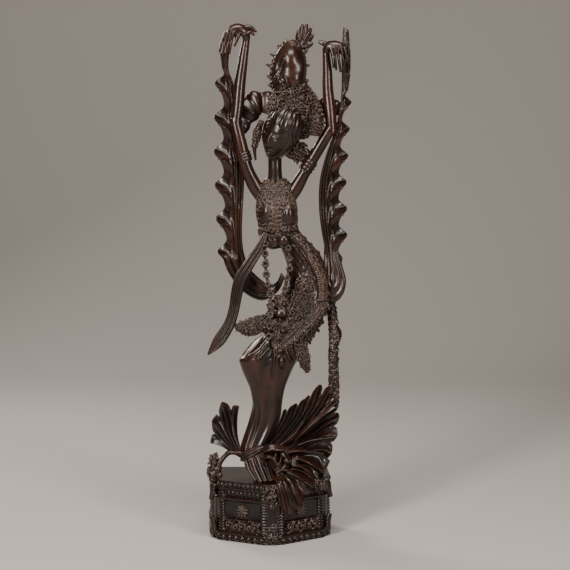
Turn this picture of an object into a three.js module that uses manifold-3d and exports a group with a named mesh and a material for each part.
// A slender temple dancer with raised arms, carved with its scarves and plinth from one
// block of dark hardwood. Millimetres, +Z up. The dancer faces -Y, and "left" and "right"
// mean the side as seen from the front. The origin is the middle of the plinth's underside.
import * as THREE from "three";
import { mergeVertices } from "three/addons/utils/BufferGeometryUtils.js";
import Module from "manifold-3d";

const wasm = await Module();
wasm.setup();

// Driving dimensions of the plinth: half a hexagon with chamfered corner posts.
const PLINTH_HEIGHT = 118;
const HEXAGON_CENTRE = [-5, 44];
const POST_DISTANCE = 123.3;
const POST_WIDTH = 32;
const FACE_WIDTH = 95.5;
const PLINTH_BACK = 79;
const PLINTH_TURN = THREE.MathUtils.degToRad(3.5);
const PANEL_DEPTH = 3;
const PANEL_MARGIN = 9;
const SIDE_PANEL_CUT = 16;

// Height and outward step of each arris of the plinth's moulded side, from the floor up.
const PLINTH_PROFILE = [
  [0, 2], [3, 5], [11, 5], [14, 2.5], [19, 3], [20, 0], [80, 0], [82, 4], [86, 4],
  [87, 0], [100, 0], [102, 3], [107, 2], [110, 4], [PLINTH_HEIGHT, 3],
];
const PANEL_HEIGHTS = [[24, 40], [44, 78], [88, 99]];
// The flat back's mouldings stand out by no more than this.
const BACK_STEP_LIMIT = 1;

// Ruffled edge of each scarf: height of the top lobe, spacing, how far lobes stand out, depth.
const LEFT_RUFFLE = { top: 880, pitch: 65, reach: 9.5, wave: 13, lag: 0.32 };
const RIGHT_RUFFLE = { top: 842, pitch: 51, reach: 9, wave: 12, lag: 0.3 };
// The ruffle fades out below the first pair of heights, and above the top lobe.
const RUFFLE_FADE = { none: 530, full: 560, overTop: 10 };
const SCARF_THICKNESS = 6;
const STRAND_RELIEF = 2.6;
// Columns across a scarf as shares of its width. The strands' ridge lies on the second one,
// and the plainer back has only the columns of the last list, from the outer edge in.
const SCARF_COLUMNS = [0, 0.2, 0.4, 0.7, 1];
const STRAND_COLUMN = 1;
const SCARF_BACK_COLUMNS = [4, 3, 0];

// How far the figure leans back (+) or forward (-) at given heights: knees forward, hips back,
// head forward. Everything above the plinth follows it.
const SWAY = [
  [PLINTH_HEIGHT, 0], [205, 4], [345, -11], [490, 13], [640, -2], [780, -13], [900, -5], [1000, 0],
];

// Vertices that move the surface by less than this are merged away after the joins.
const SIMPLIFY_BY = 0.5;
// Step along a route, in stations, over which its direction is taken.
const TANGENT_STEP = 0.05;

// Each sweep station is [x, y, z, half width, half depth], all in millimetres.
const TORSO = [
  [14, 2, 696, 22, 12], [13, 0, 677, 32, 18], [13, -1, 656, 36, 23], [15, -3, 633, 38, 25],
  [17, -2, 608, 35, 23], [17, 0, 586, 32, 19], [18, 0, 573, 26, 16], [20, 0, 565, 14, 10],
];
const HIPS = [
  [24, 2, 606, 24, 17], [46, 3, 572, 25, 20], [68, 3, 533, 35, 26], [76, 1, 491, 39, 31],
  [62, 0, 446, 45, 34], [38, -2, 412, 47, 33], [16, -3, 382, 46, 30],
];
const SKIRT = [
  [22, -3, 392, 46, 29], [14, -3, 376, 47, 29], [-2, -4, 351, 55, 27], [-5, -4, 327, 47, 24],
  [-5, -3, 307, 39, 22], [-6, -2, 283, 33, 20], [-8, -1, 258, 29, 19], [-14, -2, 232, 28, 20],
  [-25, -4, 204, 27, 22], [-35, -6, 176, 26, 24], [-38, -8, 150, 22, 22],
];
const DRAPERY_ROOT = [
  [-30, -12, 176, 24, 26], [-14, -18, 154, 34, 34], [4, -20, 130, 38, 38], [8, -20, 104, 34, 36],
];
const NECK = [
  [12, 2, 744, 13, 12], [12, 0, 719, 13, 12.5], [12, 0, 700, 14.5, 13.5], [12, 0, 680, 22, 15],
];
const HEAD = [
  [4, -12, 739, 6, 6], [9, -11, 752, 18, 18], [20, -11, 771, 28, 27], [32, -11, 791, 34, 31],
  [38, -11, 811, 35, 32], [43, -9, 828, 28, 27],
];
const LEFT_UPPER_ARM = [
  [-8, 2, 656, 13, 13], [-27, 4, 685, 14, 13], [-42, 6, 719, 12, 12], [-53, 8, 763, 12.5, 12],
  [-65, 8, 816, 10, 10],
];
const LEFT_FOREARM = [
  [-63, 8, 802, 10, 10], [-58, 7, 840, 11.5, 11.5], [-54, 6, 880, 11, 10.5],
  [-48, 4, 921, 9.5, 9], [-42, 2, 959, 7.5, 7.5], [-40, 0, 976, 7.5, 7],
];
const RIGHT_UPPER_ARM = [
  [34, 2, 654, 13, 13], [52, 4, 682, 14, 13], [70, 6, 713, 11.5, 12], [95, 8, 755, 11.5, 12],
  [123, 8, 801, 10.5, 10],
];
const RIGHT_FOREARM = [
  [121, 8, 784, 10, 10], [118, 7, 825, 11.5, 11.5], [114, 6, 867, 10.5, 10.5],
  [113, 4, 905, 9, 9], [111, 2, 935, 7, 7.5], [111, 0, 950, 7.5, 7],
];
const ARMLETS = [
  [[-46, 7, 738, 15, 15], [-49, 7, 746, 15, 15]],
  [[72, 6, 718, 14.5, 14.5], [79, 6, 728, 14.5, 14.5]],
];

// Hands: the back of each hand, then thumb, pointing finger and four hanging fingers.
const LEFT_PALM = [
  [-40, 0, 963, 7, 7.5], [-43, -4, 980, 8, 9], [-55, -8, 991, 7.5, 11], [-72, -10, 989, 6, 10],
];
const RIGHT_PALM = [
  [111, 0, 938, 7, 7.5], [114, -4, 950, 7.5, 9], [126, -8, 955, 7, 11], [142, -10, 952, 6, 10],
];
const LEFT_THUMB = [[-50, -8, 984, 4, 4.5], [-57, -14, 968, 4.5, 4.5], [-64, -14, 950, 2.5, 3]];
const RIGHT_THUMB = [[119, -10, 950, 4, 4.5], [124, -14, 930, 4, 4.5], [125, -14, 908, 2.5, 3]];
const LEFT_POINTER = [[-47, -5, 986, 4.5, 5], [-34, -6, 987, 4, 4], [-21, -5, 977, 2.5, 2.5]];
const RIGHT_POINTER = [[116, -6, 949, 4.5, 5], [105, -7, 956, 4, 4], [96, -6, 958, 2.5, 2.5]];
// Fingers as [x, z] at the knuckle and the tip, with y and the half sizes at knuckle, middle, tip.
const FINGER_Y = [-9, -15, -12];
const FINGER_HALF_SIZES = [[3.1, 4.5], [3.1, 4.5], [1.9, 3]];
const LEFT_FINGERS = [
  [[-74, 989], [-88, 936]], [[-69, 990], [-82, 930]], [[-63, 990], [-76, 929]], [[-58, 989], [-70, 934]],
];
const RIGHT_FINGERS = [
  [[130, 953], [132, 901]], [[135, 955], [140, 895]], [[140, 954], [148, 902]], [[144, 955], [157, 908]],
];

// Headdress, hair and ear ornaments.
const DIADEM = [
  [30, 6, 794, 40, 30], [43, 6, 814, 54, 44], [46, 6, 836, 54, 45], [44, 4, 857, 43, 38],
  [41, 2, 876, 28, 27],
];
const CROWN_BULB = [
  [38, 2, 862, 21, 20], [40, 1, 882, 30, 28], [43, 0, 905, 33, 31], [46, 1, 928, 29, 27],
  [49, 3, 947, 19, 18], [54, 5, 960, 7, 8],
];
const PLUME_ROOT = [60, 5, 945];
const PLUME_TIPS = [[60, 0, 981], [69, -1, 992], [80, -1, 993], [88, 0, 977], [85, 2, 956]];
// Half sizes of a plume blade at root, middle and tip, and where along it the middle lies.
const PLUME_HALF_SIZES = [[4, 5], [5, 5], [1, 1.5]];
const PLUME_MIDDLE = 0.55;
// Spikes round the crown as [root, tip], with their half sizes there.
const SPIKE_HALF_SIZES = [[7, 6], [1, 1]];
const CROWN_SPIKES = [
  [[16, 0, 884], [3, -2, 892]], [[12, 0, 905], [-1, -2, 913]], [[18, 0, 926], [6, -2, 936]],
  [[30, 0, 940], [20, -2, 952]], [[42, 0, 948], [37, -2, 962]], [[70, 2, 934], [82, 0, 944]],
  [[74, 0, 910], [84, -2, 914]], [[70, 0, 884], [80, -2, 886]],
];
const EAR_FLAP = [[76, 0, 840, 20, 20], [90, 0, 812, 18, 22], [86, 0, 780, 10, 14]];
const HAIR_BUN = [[37, 14, 763, 15, 14], [53, 18, 754, 16, 17], [63, 18, 742, 12, 13], [67, 17, 731, 6, 6]];
const EAR_GARLAND = [[-8, 4, 808, 9, 9], [-19, 5, 782, 8.5, 9], [-26, 6, 758, 7.5, 8], [-25, 6, 724, 7, 7]];
const BACK_SHAWL = [
  [-66, 22, 770, 12, 7], [-52, 28, 808, 20, 7], [-30, 33, 838, 25, 8], [-5, 35, 844, 21, 8],
  [42, 36, 838, 20, 9], [90, 34, 833, 18, 8], [122, 28, 833, 17, 7], [144, 22, 824, 10, 6],
];

// Scarves: each row is [inner x, inner z, outer x, outer z, y], from the hand down.
const LEFT_SCARF = [
  [-73, 938, -91, 938, -8], [-75, 908, -88, 908, 4], [-66, 880, -93, 880, 10], [-57, 840, -95, 838, 14],
  [-51, 790, -96, 786, 16], [-48, 740, -97, 736, 16], [-48, 690, -96, 686, 16], [-51, 640, -95, 636, 14],
  [-53, 595, -93, 588, 12], [-50, 556, -92, 552, 8], [-38, 524, -80, 516, 4], [-15, 501, -50, 478, 0],
  [0, 493, -14, 462, 0], [14, 500, 16, 480, -2], [22, 516, 30, 508, -2],
];
const RIGHT_SCARF = [
  [140, 982, 157, 977, -2], [142, 940, 159, 940, 0], [144, 896, 159, 896, 6], [143, 866, 156, 862, 10],
  [135, 824, 151, 818, 14], [124, 784, 147, 778, 16], [110, 745, 145, 738, 16], [98, 695, 142, 690, 16],
  [96, 648, 143, 644, 16], [99, 610, 143, 604, 14], [104, 578, 143, 572, 12], [111, 545, 142, 542, 8],
  [114, 516, 146, 514, 4], [109, 492, 148, 488, 0], [114, 474, 142, 466, -2],
];
const RIGHT_SCARF_HOOK = [
  [142, -2, 498, 8, 7], [145, -2, 480, 8, 7], [137, -2, 465, 8, 8], [124, -2, 462, 8, 8],
  [114, -2, 474, 8, 8], [104, -2, 500, 8, 8],
];
const SASH = [
  [-6, -20, 596, 5, 6], [-20, -27, 564, 8.5, 7], [-37, -31, 539, 10.5, 8], [-55, -33, 509, 12, 8],
  [-63, -33, 482, 11.5, 8], [-69, -30, 449, 10.5, 7.5], [-79, -26, 419, 11, 7],
  [-99, -21, 388, 11.5, 6], [-120, -17, 362, 2, 2],
];

// Strings of beads from the waist, each [route, number of beads], and the thin share between beads.
const BEAD_WAIST = 0.55;
const BEAD_STRINGS = [
  [[[-8, -20, 584, 5, 6], [-8, -30, 537, 5.5, 6], [-4, -32, 500, 5.5, 6], [1, -34, 472, 7, 7],
    [0, -38, 430, 7, 7], [-4, -34, 390, 6, 6]], 11],
  [[[36, -22, 574, 5.5, 6], [39, -32, 535, 6, 6], [33, -36, 506, 6.5, 7], [27, -38, 474, 9, 8],
    [21, -38, 440, 10, 9]], 7],
];
const WAIST_KNOT = [28, -24, 580, 12, 10, 12];
const BREASTS = [[-1, -20, 634, 14, 12, 16], [38, -20, 630, 14, 12, 16]];

// Wrap round the hips: outer band, lower hem, side flap, tassel and the ribbon behind.
const HIP_BAND = [
  [46, -10, 588, 12, 14], [66, -14, 562, 13, 15], [86, -15, 531, 13, 17], [98, -14, 498, 13, 18],
  [98, -12, 462, 13, 18],
];
const WRAP_HEM = [
  [102, -6, 462, 13, 20], [83, -20, 434, 14, 16], [58, -27, 411, 14, 13], [33, -31, 390, 13, 11],
  [6, -31, 377, 10, 9],
];
const HIP_ROSETTE = [68, -26, 493, 20, 12, 20];
const HIP_KNOTS = [[22, -32, 464, 17, 12, 14], [16, -32, 438, 18, 13, 15]];
const SIDE_FLAP = [
  [16, -24, 424, 17, 10], [-15, -27, 422, 16, 9], [-38, -27, 414, 17, 8], [-58, -26, 415, 10, 6],
  [-68, -24, 417, 3, 3],
];
const HIP_TASSEL = [
  [54, -24, 396, 12, 9], [61, -25, 370, 12.5, 8], [67, -24, 346, 10.5, 7], [73, -23, 326, 4, 3],
];
const REAR_RIBBON = [
  [96, 12, 482, 12, 10], [118, 15, 450, 10, 8], [124, 17, 400, 9.5, 7], [123, 17, 340, 9.5, 7],
  [124, 14, 290, 10, 7], [124, 4, 252, 9, 7],
];
const RIBBON_LEAF = [[124, 16, 412, 7, 5], [131, 15, 396, 9, 5], [133, 15, 379, 3, 3]];

// Pleats of the skirt: [start, end], each end [x, y, z], fanning from the wrap over both knees,
// with their half sizes at start, middle and end, and where along them the middle lies.
const PLEAT_HALF_SIZES = [[3.5, 5], [7, 6], [3, 2]];
const PLEAT_MIDDLE = 0.6;
const PLEATS = [
  [[-8, -24, 388], [-56, -10, 353]], [[0, -28, 384], [-42, -20, 346]], [[6, -30, 384], [-24, -26, 340]],
  [[10, -31, 380], [-6, -26, 314]], [[18, -31, 384], [8, -26, 312]], [[34, -30, 388], [42, -18, 344]],
];
const FRONT_KNEE = [22, -15, 342, 19, 19, 22];

// Fluted fans of cloth and leaf. Each ridge is a route of [x, y, z] from root to tip, and
// each fan has the flutes' depth, the sheet's thickness and how far a notch cuts in. The flutes
// start at a share of their depth, and the sheet thins by a share of its thickness to the tip.
const FLUTE_AT_ROOT = 0.4;
const THIN_AT_TIP = 0.6;
const TRAIN_UPPER = {
  flute: 7, thickness: 9, notch: 0.2,
  ridges: [
    [[-34, -14, 168], [-4, -12, 196], [14, -10, 221], [24, -6, 248]],
    [[-28, -16, 163], [8, -14, 193], [32, -12, 226], [45, -6, 260]],
    [[-22, -18, 160], [20, -15, 194], [51, -13, 236], [67, -6, 272]],
    [[-18, -20, 157], [33, -18, 196], [75, -14, 248], [94, -6, 300]],
    [[-14, -22, 154], [44, -20, 195], [90, -15, 246], [120, -4, 298]],
    [[-10, -24, 150], [52, -22, 190], [97, -18, 234], [131, -8, 266]],
  ],
};
const TRAIN_SIDE = {
  flute: 8, thickness: 9, notch: 0.24,
  ridges: [
    [[-8, -20, 152], [51, -20, 190], [97, -15, 233], [133, -7, 259]],
    [[6, -22, 158], [60, -22, 190], [101, -18, 216], [134, -10, 235]],
    [[10, -24, 155], [66, -25, 180], [102, -20, 198], [130, -14, 199]],
    [[10, -28, 150], [66, -28, 168], [98, -23, 173], [118, -18, 164]],
    [[10, -32, 143], [56, -33, 152], [82, -28, 145], [99, -22, 128]],
    [[12, -36, 134], [52, -40, 137], [74, -38, 124], [89, -32, 104]],
  ],
};
const FRONT_SPILL = {
  flute: 6, thickness: 9, notch: 0.2,
  ridges: [
    [[16, -40, 138], [42, -52, 131], [60, -62, 114], [74, -62, 97]],
    [[14, -46, 138], [36, -66, 124], [50, -76, 100], [61, -72, 76]],
    [[11, -50, 136], [28, -78, 121], [40, -85, 95], [52, -79, 70]],
    [[9, -52, 134], [20, -84, 119], [29, -91, 91], [35, -87, 60]],
    [[6, -52, 132], [11, -84, 119], [15, -92, 94], [21, -88, 63]],
  ],
};
const FRONT_FOLDS = {
  flute: 5, thickness: 16, notch: 0.06,
  ridges: [
    [[-54, -26, 162], [-50, -40, 143], [-33, -58, 120]],
    [[-45, -30, 166], [-38, -43, 142], [-22, -62, 118]],
    [[-36, -32, 168], [-26, -44, 144], [-12, -66, 119]],
    [[-27, -32, 168], [-15, -44, 146], [-2, -70, 121]],
    [[-18, -32, 166], [-4, -45, 148], [8, -74, 124]],
  ],
};
const LEAF_FAN = {
  flute: 7, thickness: 9, notch: 0.22,
  ridges: [
    [[-54, -14, 158], [-64, -8, 194], [-65, -6, 229], [-61, -8, 258]],
    [[-56, -16, 158], [-80, -12, 200], [-88, -9, 234], [-95, -8, 267]],
    [[-58, -18, 157], [-88, -13, 190], [-103, -11, 210], [-115, -8, 229]],
    [[-60, -18, 156], [-90, -14, 174], [-104, -12, 180], [-119, -9, 184]],
  ],
};

// The roll of cloth across the figure's feet, the folded cloth beside it, and the leaf's stalk.
const CROSS_FOLD = [[-54, -26, 162, 8, 9], [-37, -30, 171, 8, 9], [-16, -28, 181, 5, 6]];
const FOLDED_CLOTH = [[0, -32, 172, 19, 14], [18, -36, 171, 25, 17], [34, -34, 168, 20, 14]];
const CLOTH_KNOB = [40, -38, 147, 10, 10, 10];
const LEAF_STALK = [
  [-44, -12, 160, 8, 9], [-66, -14, 166, 5, 6], [-82, -18, 167, 5, 6], [-96, -22, 154, 5, 6],
  [-107, -24, 136, 7, 8],
];
const LEAF_KNOB = [
  [-110, -16, 168, 6, 6], [-111, -20, 150, 9.5, 10], [-111, -22, 131, 13, 13], [-110, -22, 110, 11, 11],
];

// Leaves on the plinth's corner posts, as routes of [outward from the post, height, half width].
const POST_LEAF_HALF_DEPTH = 6;
const POST_TOP_LEAF = [[-4, 112, 9], [6, 106, 9], [9, 90, 8], [12, 78, 3]];
const POST_FOOT_LEAF = [[-3, 2, 9], [8, 12, 9], [8, 30, 8], [11, 46, 3]];
const LEFT_CORNER_CRESTS = [[-4, 114, 9], [2, 128, 10], [0, 142, 4]];
const RIGHT_CORNER_CRESTS = [[-14, 112, 10], [-4, 132, 10], [6, 152, 2.5]];
const FRONT_CLUSTER = [[0, -76, 108, 15, 10, 12], [2, -80, 92, 12, 7, 10], [4, -80, 76, 9, 6, 9]];
const FRONT_FOOT_FLOWER = [[2, -80, 13, 15, 8, 12.5], [3, -78, 30, 10, 6, 8]];
const RIGHT_CORNER_BOSS = [92, -26, 106, 20, 16, 14];

function sway(z) {
  const above = SWAY.findIndex(([height]) => height > z);
  if (above === 0) {
    return 0;
  }
  const [low, high] = above < 0 ? [SWAY.at(-1), SWAY.at(-1)] : [SWAY[above - 1], SWAY[above]];
  return low[1] + (high[1] - low[1]) * THREE.MathUtils.smoothstep(z, low[0], high[0] + 1e-6);
}

function spline(stations, t) {
  const span = Math.min(Math.floor(t), stations.length - 2);
  const f = t - span;
  const at = (i) => stations[Math.max(0, Math.min(stations.length - 1, i))];
  const [a, b, c, d] = [at(span - 1), at(span), at(span + 1), at(span + 2)];
  return b.map((_, k) => 0.5 * (2 * b[k] + (c[k] - a[k]) * f
    + (2 * a[k] - 5 * b[k] + 4 * c[k] - d[k]) * f * f
    + (3 * b[k] - a[k] - 3 * c[k] + d[k]) * f * f * f));
}

// Closed skin over rings of points that all have the same count, with a fan at each end.
function skin(rings) {
  const n = rings[0].length;
  const points = rings.flat();
  const faces = [];
  for (let i = 0; i + 1 < rings.length; i += 1) {
    for (let j = 0; j < n; j += 1) {
      const [a, b] = [i * n + j, i * n + (j + 1) % n];
      faces.push(a, b, b + n, a, b + n, a + n);
    }
  }
  const ends = [[rings[0], 0, true], [rings.at(-1), (rings.length - 1) * n, false]];
  for (const [ring, base, flip] of ends) {
    const middle = new THREE.Vector3();
    ring.forEach((p) => middle.addScaledVector(p, 1 / n));
    points.push(middle);
    for (let j = 0; j < n; j += 1) {
      const [a, b] = [base + j, base + (j + 1) % n];
      faces.push(points.length - 1, ...(flip ? [b, a] : [a, b]));
    }
  }
  const geometry = new THREE.BufferGeometry().setFromPoints(points);
  geometry.setIndex(faces);
  return lean(geometry);
}

function lean(geometry) {
  const place = geometry.attributes.position;
  for (let i = 0; i < place.count; i += 1) {
    place.setY(i, place.getY(i) + sway(place.getZ(i)));
  }
  return geometry;
}

const roundSection = (sides) => Array.from({ length: sides }, (_, i) => {
  const angle = (2 * Math.PI * i) / sides;
  return [Math.cos(angle), Math.sin(angle)];
});

// Cross-sections as [across, depth], anticlockwise, with the viewer's side at depth -1.
const BLADE = [[-1, 0], [0, -1], [1, 0], [0, 0.7]];
const LEGS = [
  [1, 0], [0.8, 0.6], [0.3, 0.95], [-0.3, 0.95], [-0.8, 0.6], [-1, 0],
  [-0.85, -0.6], [-0.5, -0.95], [-0.05, -0.6], [0.4, -1.05], [0.8, -0.65],
];
const RIBBON = [[-1, 0], [-0.5, -0.95], [0, -0.4], [0.5, -0.95], [1, 0], [0, 0.8]];

// Carries a cross-section along the stations. Its width stays square to the route as seen
// from the front.
function sweep(stations, section, rows) {
  const last = stations.length - 1;
  const rings = [];
  for (let i = 0; i <= rows; i += 1) {
    const t = (i * last) / rows;
    const [x, y, z, width, depth] = spline(stations, t);
    const before = spline(stations, Math.max(0, t - TANGENT_STEP));
    const after = spline(stations, Math.min(last, t + TANGENT_STEP));
    const along = new THREE.Vector3(...[0, 1, 2].map((k) => after[k] - before[k])).normalize();
    const across = new THREE.Vector3(along.z, 0, -along.x).normalize();
    const back = new THREE.Vector3().crossVectors(along, across);
    rings.push(section.map(([a, b]) => new THREE.Vector3(x, y, z)
      .addScaledVector(across, a * width)
      .addScaledVector(back, b * depth)));
  }
  return skin(rings);
}

// A route's points, each with its half sizes added, as stations of a sweep.
const sized = (route, halfSizes) => route.map((point, k) => [...point, ...halfSizes[k]]);

function ball([x, y, z, rx, ry, rz]) {
  const geometry = new THREE.OctahedronGeometry(1, 1);
  geometry.scale(rx, ry, rz);
  geometry.translate(x, y, z);
  return lean(geometry);
}

// A round rod that swells into the given number of beads.
function beads([route, count]) {
  const stations = [];
  for (let i = 0; i <= 2 * count; i += 1) {
    const row = spline(route, (i * (route.length - 1)) / (2 * count));
    const swell = i % 2 ? 1 : BEAD_WAIST;
    stations.push([row[0], row[1], row[2], row[3] * swell, row[4] * swell]);
  }
  return sweep(stations, roundSection(5), 2 * count);
}

// A scarf: ridged strands along its inner edge, and a ruffled outer edge whose lobes and
// depth follow one wave down the scarf.
function scarf(rowsList, ruffle, rows) {
  const last = rowsList.length - 1;
  const rings = [];
  for (let i = 0; i <= rows; i += 1) {
    const [innerX, innerZ, outerX, outerZ, y] = spline(rowsList, (i * last) / rows);
    const side = Math.sign(outerX - innerX);
    const topFade = [ruffle.top + RUFFLE_FADE.overTop, ruffle.top + ruffle.pitch / 2];
    const fade = THREE.MathUtils.smoothstep(outerZ, RUFFLE_FADE.none, RUFFLE_FADE.full)
      * (1 - THREE.MathUtils.smoothstep(outerZ, ...topFade));
    const phase = (2 * Math.PI * (outerZ - ruffle.top)) / ruffle.pitch;
    const front = SCARF_COLUMNS.map((q, k) => {
      const wave = Math.sin(phase - ruffle.lag * 2 * Math.PI * (1 - q));
      const reach = side * ruffle.reach * Math.cos(phase) * fade * q * q;
      const strand = k === STRAND_COLUMN ? STRAND_RELIEF : 0;
      return new THREE.Vector3(
        innerX + (outerX - innerX) * q + reach,
        y + ruffle.wave * wave * fade * q * Math.sqrt(q) - strand - SCARF_THICKNESS / 2,
        innerZ + (outerZ - innerZ) * q,
      );
    });
    const back = SCARF_BACK_COLUMNS.map((k) => front[k].clone().setY(front[k].y + SCARF_THICKNESS));
    rings.push([...front, ...back]);
  }
  return outward(rings);
}

// A fluted sheet: ridges towards the viewer, valleys between them that end short of the tips.
function fan({ flute, thickness, notch, ridges }, rows) {
  const rings = [];
  const last = ridges[0].length - 1;
  const edge = ridges.length - 1;
  for (let i = 0; i <= rows; i += 1) {
    const f = i / rows;
    const onRidge = ridges.map((ridge) => new THREE.Vector3(...spline(ridge, f * last)));
    const inValley = ridges.slice(1).map((ridge, k) => {
      const g = f * (1 - notch * f) * last;
      const middle = new THREE.Vector3(...spline(ridges[k], g));
      middle.lerp(new THREE.Vector3(...spline(ridge, g)), 0.5);
      middle.y += flute * Math.min(1, FLUTE_AT_ROOT + f);
      return middle;
    });
    const front = onRidge.flatMap((point, k) => (k < inValley.length ? [point, inValley[k]] : [point]));
    const thin = thickness * (1 - THIN_AT_TIP * f);
    const back = onRidge.map((point, k) => {
      if (k === 0 || k === edge) {
        return point.clone().setY(point.y + thin);
      }
      const behind = point.clone().lerp(inValley[k], 0.5);
      return behind.setY(behind.y + thin + flute / 2);
    });
    rings.push([...front, ...back.reverse()]);
  }
  return outward(rings);
}

// Skins the rings so that the result faces out, whichever way round they were listed.
function outward(rings) {
  const [first, second] = rings;
  const normal = new THREE.Vector3();
  first.forEach((p, k) => normal.add(new THREE.Vector3().crossVectors(p, first[(k + 1) % first.length])));
  const along = new THREE.Vector3();
  first.forEach((p, k) => along.add(second[k]).sub(p));
  return skin(normal.dot(along) > 0 ? rings : rings.slice().reverse());
}

// Plan of the plinth at a given outward step, anticlockwise from above.
function plinthPlan(step) {
  const corners = [];
  const half = POST_WIDTH / 2;
  for (let i = -2; i <= 2; i += 1) {
    const angle = -Math.PI / 2 + (i * Math.PI) / 3 + PLINTH_TURN;
    const out = new THREE.Vector2(Math.cos(angle), Math.sin(angle));
    const side = new THREE.Vector2(-out.y, out.x);
    const spread = half + step * Math.tan(Math.PI / 12);
    for (const s of [-1, 1]) {
      const point = new THREE.Vector2(...HEXAGON_CENTRE);
      point.addScaledVector(out, POST_DISTANCE + step).addScaledVector(side, s * spread);
      corners.push(point);
    }
  }
  const back = PLINTH_BACK + Math.min(step, BACK_STEP_LIMIT);
  const cut = (inside, outside) => {
    const f = (back - inside.y) / (outside.y - inside.y);
    return inside.clone().lerp(outside, f);
  };
  return [cut(corners[2], corners[1]), ...corners.slice(2, 8), cut(corners[7], corners[8])];
}

// Middle, outward direction and sideways direction of a face or post, counted from the front.
function plinthSide(turns, distance) {
  const angle = -Math.PI / 2 + (turns * Math.PI) / 3 + PLINTH_TURN;
  const out = new THREE.Vector3(Math.cos(angle), Math.sin(angle), 0);
  const side = new THREE.Vector3(-out.y, out.x, 0);
  const middle = new THREE.Vector3(...HEXAGON_CENTRE, 0).addScaledVector(out, distance);
  return { out, side, middle };
}

// A leaf that stands on a corner post, its width square to the post's outward direction.
function postLeaf(turns, route) {
  const { out, side, middle } = plinthSide(turns, POST_DISTANCE);
  const rows = 3;
  const rings = [];
  for (let i = 0; i <= rows; i += 1) {
    const [reach, height, width] = spline(route, (i * (route.length - 1)) / rows);
    const centre = middle.clone().addScaledVector(out, reach);
    centre.z = height;
    rings.push(BLADE.map(([a, b]) => centre.clone()
      .addScaledVector(side, a * width)
      .addScaledVector(out, -b * POST_LEAF_HALF_DEPTH)));
  }
  const upward = route.at(-1)[1] > route[0][1];
  return skin(upward ? rings : rings.reverse());
}

function plinthBody() {
  return skin(PLINTH_PROFILE.map(([z, step]) => plinthPlan(step)
    .map((p) => new THREE.Vector3(p.x, p.y, z))));
}

// The sunk panels of the two front faces and of the shorter side faces.
function plinthPanels() {
  const apothem = POST_DISTANCE * Math.cos(Math.PI / 6) + (POST_WIDTH / 2) * Math.sin(Math.PI / 6);
  const cutters = [];
  for (const turns of [-1.5, -0.5, 0.5, 1.5]) {
    const { out, side, middle } = plinthSide(turns, apothem);
    const atSide = Math.abs(turns) > 1;
    const half = FACE_WIDTH / 2 - PANEL_MARGIN - (atSide ? SIDE_PANEL_CUT / 2 : 0);
    middle.addScaledVector(side, atSide ? -Math.sign(turns) * (SIDE_PANEL_CUT / 2) : 0);
    for (const [low, high] of PANEL_HEIGHTS) {
      const rings = [low, high].map((z) => [[-1, 1], [1, 1], [1, -1], [-1, -1]].map(([a, b]) => {
        const point = middle.clone();
        point.addScaledVector(side, a * half).addScaledVector(out, b * PANEL_DEPTH);
        point.z = z;
        return point;
      }));
      cutters.push(skin(rings));
    }
  }
  return cutters;
}

function plinthOrnament() {
  return [
    ...[-1, 1].flatMap((turns) => [postLeaf(turns, POST_TOP_LEAF), postLeaf(turns, POST_FOOT_LEAF)]),
    postLeaf(-1, LEFT_CORNER_CRESTS), postLeaf(1, RIGHT_CORNER_CRESTS),
    ...FRONT_CLUSTER.map(ball), ...FRONT_FOOT_FLOWER.map(ball), ball(RIGHT_CORNER_BOSS),
  ];
}

function figure() {
  return [
    sweep(TORSO, roundSection(10), 7), sweep(HIPS, roundSection(10), 6), sweep(NECK, roundSection(7), 3),
    sweep(HEAD, roundSection(10), 7), ...BREASTS.map(ball),
    sweep(SKIRT, LEGS, 8), sweep(DRAPERY_ROOT, roundSection(10), 4),
    ball(FRONT_KNEE),
    ...PLEATS.map(([from, to]) => {
      const middle = from.map((v, k) => v + (to[k] - v) * PLEAT_MIDDLE);
      return sweep(sized([from, middle, to], PLEAT_HALF_SIZES), BLADE, 2);
    }),
  ];
}

function arms() {
  return [
    sweep(LEFT_UPPER_ARM, roundSection(6), 4), sweep(LEFT_FOREARM, roundSection(6), 4),
    sweep(RIGHT_UPPER_ARM, roundSection(6), 4), sweep(RIGHT_FOREARM, roundSection(6), 4),
    ...ARMLETS.map((armlet) => sweep(armlet, roundSection(6), 1)),
  ];
}

function hands() {
  const solids = [LEFT_PALM, RIGHT_PALM].map((palm) => sweep(palm, roundSection(6), 4));
  for (const digit of [LEFT_THUMB, RIGHT_THUMB, LEFT_POINTER, RIGHT_POINTER]) {
    solids.push(sweep(digit, roundSection(4), 3));
  }
  for (const [[x0, z0], [x1, z1]] of [...LEFT_FINGERS, ...RIGHT_FINGERS]) {
    const route = [
      [x0, FINGER_Y[0], z0], [(x0 + x1) / 2, FINGER_Y[1], (z0 + z1) / 2], [x1, FINGER_Y[2], z1],
    ];
    solids.push(sweep(sized(route, FINGER_HALF_SIZES), roundSection(4), 3));
  }
  return solids;
}

function headdress() {
  const spikes = CROWN_SPIKES.map((ends) => sweep(sized(ends, SPIKE_HALF_SIZES), BLADE, 1));
  const plume = PLUME_TIPS.map((tip) => {
    const middle = PLUME_ROOT.map((v, k) => v + (tip[k] - v) * PLUME_MIDDLE);
    return sweep(sized([PLUME_ROOT, middle, tip], PLUME_HALF_SIZES), BLADE, 3);
  });
  return [
    sweep(DIADEM, roundSection(12), 6), sweep(CROWN_BULB, roundSection(10), 6), ...plume,
    ...spikes, sweep(EAR_FLAP, roundSection(6), 3), sweep(HAIR_BUN, roundSection(6), 3),
    sweep(EAR_GARLAND, roundSection(5), 4), sweep(BACK_SHAWL, RIBBON, 7),
  ];
}

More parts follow.
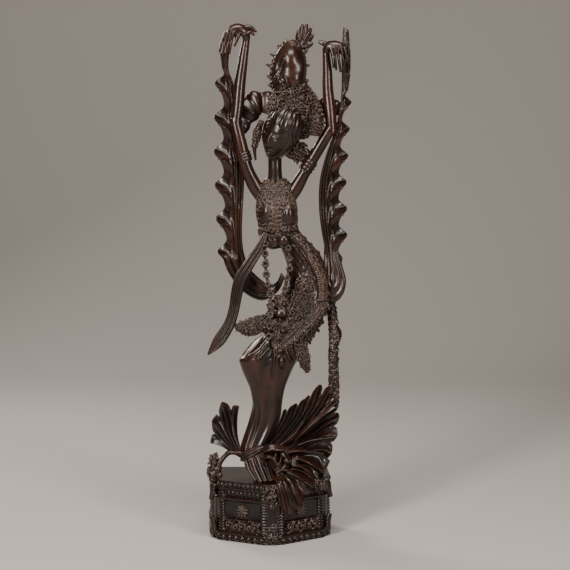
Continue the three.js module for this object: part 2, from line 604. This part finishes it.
function costume() {
  return [
    scarf(LEFT_SCARF, LEFT_RUFFLE, 28), scarf(RIGHT_SCARF, RIGHT_RUFFLE, 31),
    sweep(RIGHT_SCARF_HOOK, RIBBON, 6), sweep(SASH, RIBBON, 9), ...BEAD_STRINGS.map(beads),
    ball(WAIST_KNOT), sweep(HIP_BAND, roundSection(5), 5), sweep(WRAP_HEM, roundSection(5), 5),
    ball(HIP_ROSETTE), ...HIP_KNOTS.map(ball), sweep(SIDE_FLAP, roundSection(5), 5),
    sweep(HIP_TASSEL, roundSection(5), 3), sweep(REAR_RIBBON, roundSection(5), 6),
    sweep(RIBBON_LEAF, BLADE, 2),
  ];
}

function trainAndLeaves() {
  return [
    fan(TRAIN_UPPER, 4), fan(TRAIN_SIDE, 4), fan(FRONT_SPILL, 4), fan(FRONT_FOLDS, 3), fan(LEAF_FAN, 4),
    sweep(CROSS_FOLD, BLADE, 3), sweep(FOLDED_CLOTH, roundSection(7), 3), ball(CLOTH_KNOB),
    sweep(LEAF_STALK, roundSection(5), 5), sweep(LEAF_KNOB, roundSection(6), 3),
  ];
}

function toSolid(geometry) {
  const bare = geometry.clone();
  bare.deleteAttribute("normal");
  bare.deleteAttribute("uv");
  const merged = mergeVertices(bare);
  const index = merged.index ? merged.index.array : [...merged.attributes.position.array.keys()];
  return new wasm.Manifold(new wasm.Mesh({
    numProp: 3,
    vertProperties: new Float32Array(merged.attributes.position.array),
    triVerts: new Uint32Array(index),
  }));
}

function toGeometry(solid) {
  const mesh = solid.getMesh();
  const geometry = new THREE.BufferGeometry();
  geometry.setAttribute("position", new THREE.BufferAttribute(new Float32Array(mesh.vertProperties), 3));
  geometry.setIndex([...mesh.triVerts]);
  return geometry;
}

function carvedBlock() {
  let block = toSolid(plinthBody());
  for (const cutter of plinthPanels()) {
    block = block.subtract(toSolid(cutter));
  }
  const carving = [
    ...plinthOrnament(), ...figure(), ...arms(), ...hands(), ...headdress(), ...costume(),
    ...trainAndLeaves(),
  ];
  for (const piece of carving) {
    block = block.add(toSolid(piece));
  }
  return toGeometry(block.simplify(SIMPLIFY_BY));
}

const ebony = new THREE.MeshStandardMaterial({ color: 0x2b1a14, roughness: 0.32, metalness: 0 });
const statue = new THREE.Mesh(carvedBlock(), ebony);
statue.name = "dancer_statue";

const part = new THREE.Group();
part.name = "carved_dancer";
part.add(statue);
export default part;
